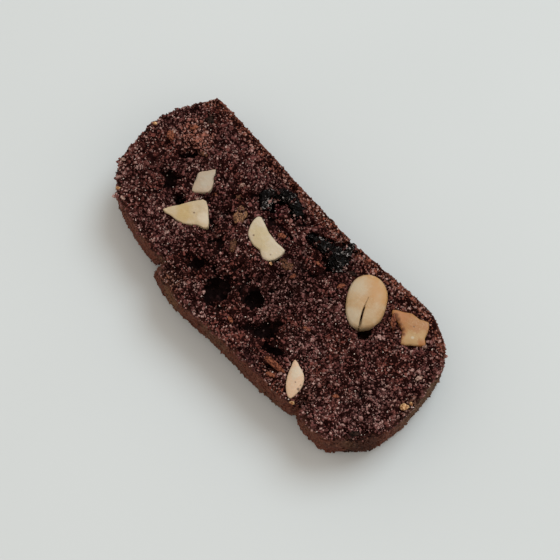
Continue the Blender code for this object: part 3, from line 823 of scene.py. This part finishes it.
# Spots of another colour: where each one is, how far it reaches, in mm, and its colour
HONEY = (0.390, 0.215, 0.085)
BROWNED = (0.120, 0.040, 0.014)
CREAM = (0.420, 0.350, 0.250)
IVORY = (0.480, 0.410, 0.310)
BUTTER = (0.390, 0.280, 0.120)
SPECK = (0.100, 0.055, 0.030)
ALMOND_SPOTS = {
    # The cream spots lighten the left side of the domed whole almond: painted light
    "almond_whole": [
        (20.9, 15.0, 13.2, 4.2, HONEY), (16.0, 11.0, 13.2, 3.4, CREAM),
        (20.6, 5.4, 13.0, 3.0, CREAM),
    ],
    # The ivory spot on the sail lightens its right-hand facet: painted light
    "almond_sail": [
        (-22.0, -5.2, 12.9, 3.0, BUTTER), (-18.0, -2.9, 12.9, 2.0, IVORY),
        (-20.4, -3.8, 12.9, 0.36, SPECK),
    ],
    "almond_middle": [
        (-6.5, 3.2, 13.0, 3.4, (0.400, 0.320, 0.180)), (-7.7, 2.4, 13.0, 0.36, SPECK),
        (-1.8, 2.2, 13.0, 0.32, SPECK),
    ],
    "almond_rhombus": [(-24.2, 3.2, 12.8, 1.8, (0.360, 0.310, 0.240))],
    "almond_right": [
        (27.2, 13.8, 12.8, 2.6, (0.345, 0.138, 0.048)),
        (32.3, 11.8, 12.9, 2.6, (0.378, 0.258, 0.122)),
        (33.4, 14.4, 12.9, 1.7, (0.385, 0.250, 0.112)), (30.8, 14.1, 12.9, 0.32, SPECK),
        (32.4, 12.2, 12.9, 0.4, CREAM), (26.3, 13.0, 12.8, 0.85, BROWNED),
        (27.4, 12.7, 12.8, 0.85, BROWNED), (28.5, 12.2, 12.8, 0.95, BROWNED),
        (29.6, 11.8, 12.8, 0.85, BROWNED), (30.5, 11.3, 12.8, 0.7, BROWNED),
    ],
    "almond_spindle": [
        (22.0, -11.0, 12.7, 2.0, IVORY), (24.1, -11.6, 12.7, 0.34, SPECK),
        (24.4, -12.5, 12.7, 0.40, SPECK), (23.2, -12.9, 12.7, 0.24, SPECK),
        (24.7, -13.4, 12.7, 0.46, SPECK),
    ],
}
SEAM_BROWN = (0.085, 0.045, 0.010)
SEAM_START = Vector((19.7, 11.1)) * MM
SEAM_END = Vector((23.8, 4.5)) * MM
SEAM_BOW = 0.35 * MM
SEAM_STEPS = 24
# How far the flesh swells, its grain stands out and the seam is cut, in mm
FLESH_SWELL = 0.13
FLESH_GRAIN = 0.04
WHOLE_ALMOND_SHARE = 0.22
SEAM_DEPTH = 0.35
EDGE_WIDTH = 0.9
EDGE_TONE = 0.5
FIBRE_PALE = (0.66, 0.56, 0.44)


def seam_distance(points):
    """How far each point is, seen from above, from the seam of the whole almond, in mm."""
    along = SEAM_END - SEAM_START
    across = Vector((along.y, -along.x)).normalized()
    seam = []
    for i in range(SEAM_STEPS + 1):
        t = i / SEAM_STEPS
        seam.append(SEAM_START + along * t + across * SEAM_BOW * math.sin(math.pi * t))
    distance, step = seen_from_above(points, seam)
    return distance, step / SEAM_STEPS


def almond_surface(node):
    flesh, edge, base_side = ALMOND_COLOURS[node]
    low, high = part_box(node)
    kernel = Surface(node + "_flesh", roughness=0.45, gloss=0.35)
    cloud = kernel.noise(2.6 * MM, 3.0)
    fibre = kernel.noise(0.45 * MM, 4.0, 0.6)
    split = kernel.tree.nodes.new("ShaderNodeSeparateXYZ")
    kernel.link(kernel.place, split.inputs[0])
    towards_base = kernel.spread(split.outputs["Y"], low.y, high.y)
    colour = kernel.mix(towards_base, flesh, base_side)
    colour = kernel.mix(kernel.spread(cloud, 0.40, 0.65, 0.0, 0.6), colour, edge)
    colour = kernel.mix(kernel.spread(kernel.layer("rim"), 0.0, 1.0, 0.0, 0.8), colour, edge)
    colour = kernel.mix(kernel.spread(fibre, 0.5, 0.8, 0.0, 0.25), colour, FIBRE_PALE)
    for x, y, z, reach, tone in ALMOND_SPOTS.get(node, []):
        wander = kernel.spread(cloud, 0.2, 0.8, -0.35 * reach * MM, 0.35 * reach * MM)
        near = kernel.math("ADD", kernel.distance((x * MM, y * MM, z * MM)), wander)
        strength = 0.9 if reach < 1.0 else 0.75
        share = kernel.spread(near, 0.3 * reach * MM, reach * MM, strength, 0.0)
        colour = kernel.mix(share, colour, tone)
    if node == "almond_whole":
        colour = kernel.mix(kernel.layer("seam"), colour, SEAM_BROWN)
    kernel.shader.inputs["Subsurface Weight"].default_value = 0.15
    kernel.shader.inputs["Subsurface Radius"].default_value = (0.0012, 0.0008, 0.0005)
    normal = kernel.bump(kernel.noise(0.35 * MM, 4.0, 0.65), 0.05 * MM)
    return kernel.finish(colour, kernel.spread(fibre, 0.3, 0.7, 0.38, 0.6), normal)


for node in ALMONDS:
    shape = bmesh.new()
    add_solid(shape, node)
    almond = piece_from("biscotti_" + node, shape)
    whole = node == "almond_whole"
    voxel, smoothing = (WHOLE_ALMOND_VOXEL, 40) if whole else (ALMOND_VOXEL, 3)
    mesh = even_mesh(almond, voxel, smoothing)
    points, normals = points_and_normals(mesh)
    rise = (
        FLESH_SWELL * waves(points, 2.2 * MM, 3.0)
        + FLESH_GRAIN * waves(points, 0.6 * MM, 6.0) - FLESH_GRAIN
    )
    if whole:
        distance, run = seam_distance(points)
        seam = 1.0 - ease(distance, 0.02 + 0.04 * run, 0.12 + 0.06 * run)
        seam *= points[:, 2] > SLICE_MIDDLE
        rise = WHOLE_ALMOND_SHARE * rise - SEAM_DEPTH * seam
        set_layer(mesh, "seam", seam)
    steep = np.abs(normals[:, 2]) < 0.6
    from_edge = seen_from_above(points, points[steep])[0]
    edge_tone = 0.0 if whole else EDGE_TONE
    set_layer(mesh, "rim", edge_tone * (1.0 - ease(from_edge, 0.0, EDGE_WIDTH)))
    set_points(mesh, points + normals * (rise * MM)[:, None])
    mesh.shade_smooth()
    mesh.materials.append(almond_surface(node))
    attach(almond, "root")
    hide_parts(node)


# Raisins: dried grapes, nearly black, with painted highlights on the ridges of their wrinkles.
# The knife has torn them open in the cut face, and crumbs of dough stick to them.
RAISIN_VOXEL = 0.15 * MM
RAISINS = [name for name in INCLUSIONS if name.startswith("raisin")]
RAISIN_BLACK = (0.0015, 0.0012, 0.0012)
RAISIN_BROWN = (0.008, 0.004, 0.004)
# Painted highlight on the ridges, and painted glints in spots
RAISIN_RIDGE_HIGHLIGHT = (0.380, 0.345, 0.335)
RAISIN_GLINT = (0.300, 0.270, 0.265)
# How far the folds and the finer creases stand out, in mm, and how narrow they are
FOLD_RISE = 0.55
CREASE_RISE = 0.25
RAISIN_SINK = 0.25
FOLD_SHARPNESS = 3.0


def raisin_surface():
    skin = Surface("raisin_skin", roughness=0.25, gloss=0.06)
    cloud = skin.noise(1.2 * MM, 3.0)
    colour = skin.mix(skin.spread(cloud, 0.45, 0.75), RAISIN_BLACK, RAISIN_BROWN)
    wrinkled = skin.math("ABSOLUTE", skin.math("SUBTRACT", skin.noise(1.5 * MM, 2.5, 0.6), 0.5))
    ridges = skin.spread(wrinkled, 0.0, 0.022, 1.0, 0.0)
    # Painted highlights along the ridges of the wrinkles
    ridge_highlight = skin.math("MULTIPLY", ridges, skin.spread(skin.noise(2.2 * MM, 1.0), 0.50, 0.58))
    colour = skin.mix(ridge_highlight, colour, RAISIN_RIDGE_HIGHLIGHT)
    glint = skin.spread(skin.noise(0.42 * MM, 1.0), 0.70, 0.75)
    colour = skin.mix(glint, colour, RAISIN_GLINT)
    normal = skin.bump(wrinkled, -1.2 * MM)
    return skin.finish(colour, skin.spread(cloud, 0.35, 0.65, 0.08, 0.25), normal)


raisin_skin = raisin_surface()
for node in RAISINS:
    shape = bmesh.new()
    add_solid(shape, node)
    raisin = piece_from("biscotti_" + node, shape)
    mesh = even_mesh(raisin, RAISIN_VOXEL)
    points, normals = points_and_normals(mesh)
    folds = np.abs(waves(points, 1.9 * MM, 4.0)) * FOLD_SHARPNESS
    folds = 1.0 - np.minimum(folds, 1.0)
    creases = np.abs(waves(points, 0.8 * MM, 7.0)) * FOLD_SHARPNESS
    creases = 1.0 - np.minimum(creases, 1.0)
    rise = FOLD_RISE * folds ** 2 + CREASE_RISE * creases ** 2 - RAISIN_SINK
    set_points(mesh, points + normals * (rise * MM)[:, None])
    mesh.shade_smooth()
    mesh.materials.append(raisin_skin)
    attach(raisin, "root")
    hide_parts(node)


# Crumbs on the raisins: grains of dough that the knife has pressed into the two torn, sticky
# raisins of the upper cut face, thicker in some places.
CLUSTER_EDGE = 0.37


def raisin_crumbs(tries):
    """Spots on top of the raisins, in clusters."""
    spots = []
    for node in ("raisin_upper", "raisin_lower"):
        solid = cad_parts[node].data
        tree = bvhtree.BVHTree.FromPolygons(
            [v.co for v in solid.vertices], [p.vertices for p in solid.polygons]
        )
        low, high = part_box(node)
        for x, y in DRAW.uniform((low.x, low.y), (high.x, high.y), (tries, 2)):
            spot, normal = tree.ray_cast(Vector((x, y, high.z + MM)), -UP)[:2]
            if spot is None:
                continue
            cluster = noise.noise(spot / (1.7 * MM)) + 0.5 * (1.0 - normal.z)
            if cluster > CLUSTER_EDGE:
                spots.append(spot + UP * 0.1 * MM)
    return np.array(spots)


spots = raisin_crumbs(1500)
widths = DRAW.uniform(0.26, 0.70, len(spots)) * MM
clinging_layers = {"tone": DRAW.random(len(spots)), "pit_shade": np.zeros(len(spots))}
clinging = lumps("crumbs_on_raisins", cube, spots, widths, clinging_layers)
clinging.data.materials.append(fine_crumb)
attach(clinging, "root")


# Crumbs on the rim: grains of dough that hang together in tufts where the rounded end has
# crumbled under the knife. Each tuft has a place on the slice, in mm, and a number of crumbs.
RIM_TUFTS = [
    (-43.5, 3.7, 10), (-41.1, -7.8, 9), (-35.3, -13.7, 11), (-38.5, -10.5, 5), (-33.3, -14.2, 5),
]
RIM_TUFT_HEIGHT = 11.6
RIM_TUFT_SPREAD = 0.36


def tuft_spots():
    """Spots round the middle of each tuft."""
    spots = []
    for x, y, count in RIM_TUFTS:
        middle = np.array((x, y, RIM_TUFT_HEIGHT))
        spots.extend((middle + DRAW.normal(0.0, RIM_TUFT_SPREAD, (count, 3))) * MM)
    return np.array(spots)


spots = tuft_spots()
widths = DRAW.uniform(0.40, 0.95, len(spots)) * MM
tuft_layers = {"tone": DRAW.uniform(0.45, 1.0, len(spots)), "pit_shade": np.zeros(len(spots))}
tufts = lumps("crumbs_on_rim", ball(1), spots, widths, tuft_layers)
tufts.data.materials.append(coarse_crumb)
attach(tufts, "root")


# Floor, light and camera: a pale matt surface under a wide soft window light, seen from
# above at the angle at which the slice was looked at.
def floor_surface():
    matt = Surface("pale_floor", roughness=0.6, gloss=0.2)
    cloud = matt.spread(matt.noise(0.12, 2.0), 0.3, 0.7)
    return matt.finish(matt.mix(cloud, (0.528, 0.566, 0.582), (0.543, 0.581, 0.598)))


shape = bmesh.new()
bmesh.ops.create_grid(shape, x_segments=8, y_segments=8, size=1.5)
floor = piece_from("floor", shape)
floor.location.z = SOLID_BOX[0].z
floor.data.materials.append(floor_surface())

VIEW_TURN = math.radians(48.5)
VIEW_TILT = math.radians(21.0)
VIEW_DISTANCE = 0.320
SENSOR_WIDTH = 36.0
PICTURE_PIXELS = 560.0
MM_PER_PIXEL = 0.22
VIEW_CENTRE = Vector((2.1, 1.45, 6.5)) * MM
picture_right = Vector((math.cos(VIEW_TURN), math.sin(VIEW_TURN), 0.0))
ground_up = Vector((-math.sin(VIEW_TURN), math.cos(VIEW_TURN), 0.0))
back = UP * math.cos(VIEW_TILT) - ground_up * math.sin(VIEW_TILT)
picture_up = back.cross(picture_right)
lens = bpy.data.cameras.new("camera")
lens.sensor_width = SENSOR_WIDTH
lens.lens = SENSOR_WIDTH * VIEW_DISTANCE / (PICTURE_PIXELS * MM_PER_PIXEL * MM)
camera = bpy.data.objects.new("camera", lens)
bpy.context.scene.collection.objects.link(camera)
camera.matrix_world = Matrix.Translation(VIEW_CENTRE + back * VIEW_DISTANCE) @ Matrix(
    (picture_right, picture_up, back)
).transposed().to_4x4()
bpy.context.scene.camera = camera


def window(name, towards, distance, size, power, colour):
    """A round soft light that shines at the slice from a direction."""
    light = bpy.data.lights.new(name, "AREA")
    light.shape = "DISK"
    light.size = size
    light.energy = power
    light.color = colour
    lamp = bpy.data.objects.new(name, light)
    bpy.context.scene.collection.objects.link(lamp)
    direction = Vector(towards).normalized()
    lamp.location = direction * distance
    lamp.rotation_mode = "QUATERNION"
    lamp.rotation_quaternion = direction.to_track_quat("Z", "Y")


upper_right = (picture_right + ground_up).normalized()
window(
    "window", upper_right * 0.75 + UP, distance=2.2, size=1.4, power=27.0,
    colour=(0.86, 0.97, 1.03),
)
world = bpy.data.worlds.new("soft room")
world.use_nodes = True
sky = world.node_tree.nodes["Background"]
sky.inputs["Color"].default_value = (1.0, 0.90, 0.80, 1.0)
sky.inputs["Strength"].default_value = 0.88
bpy.context.scene.world = world
bpy.context.scene.view_settings.view_transform = "Standard"
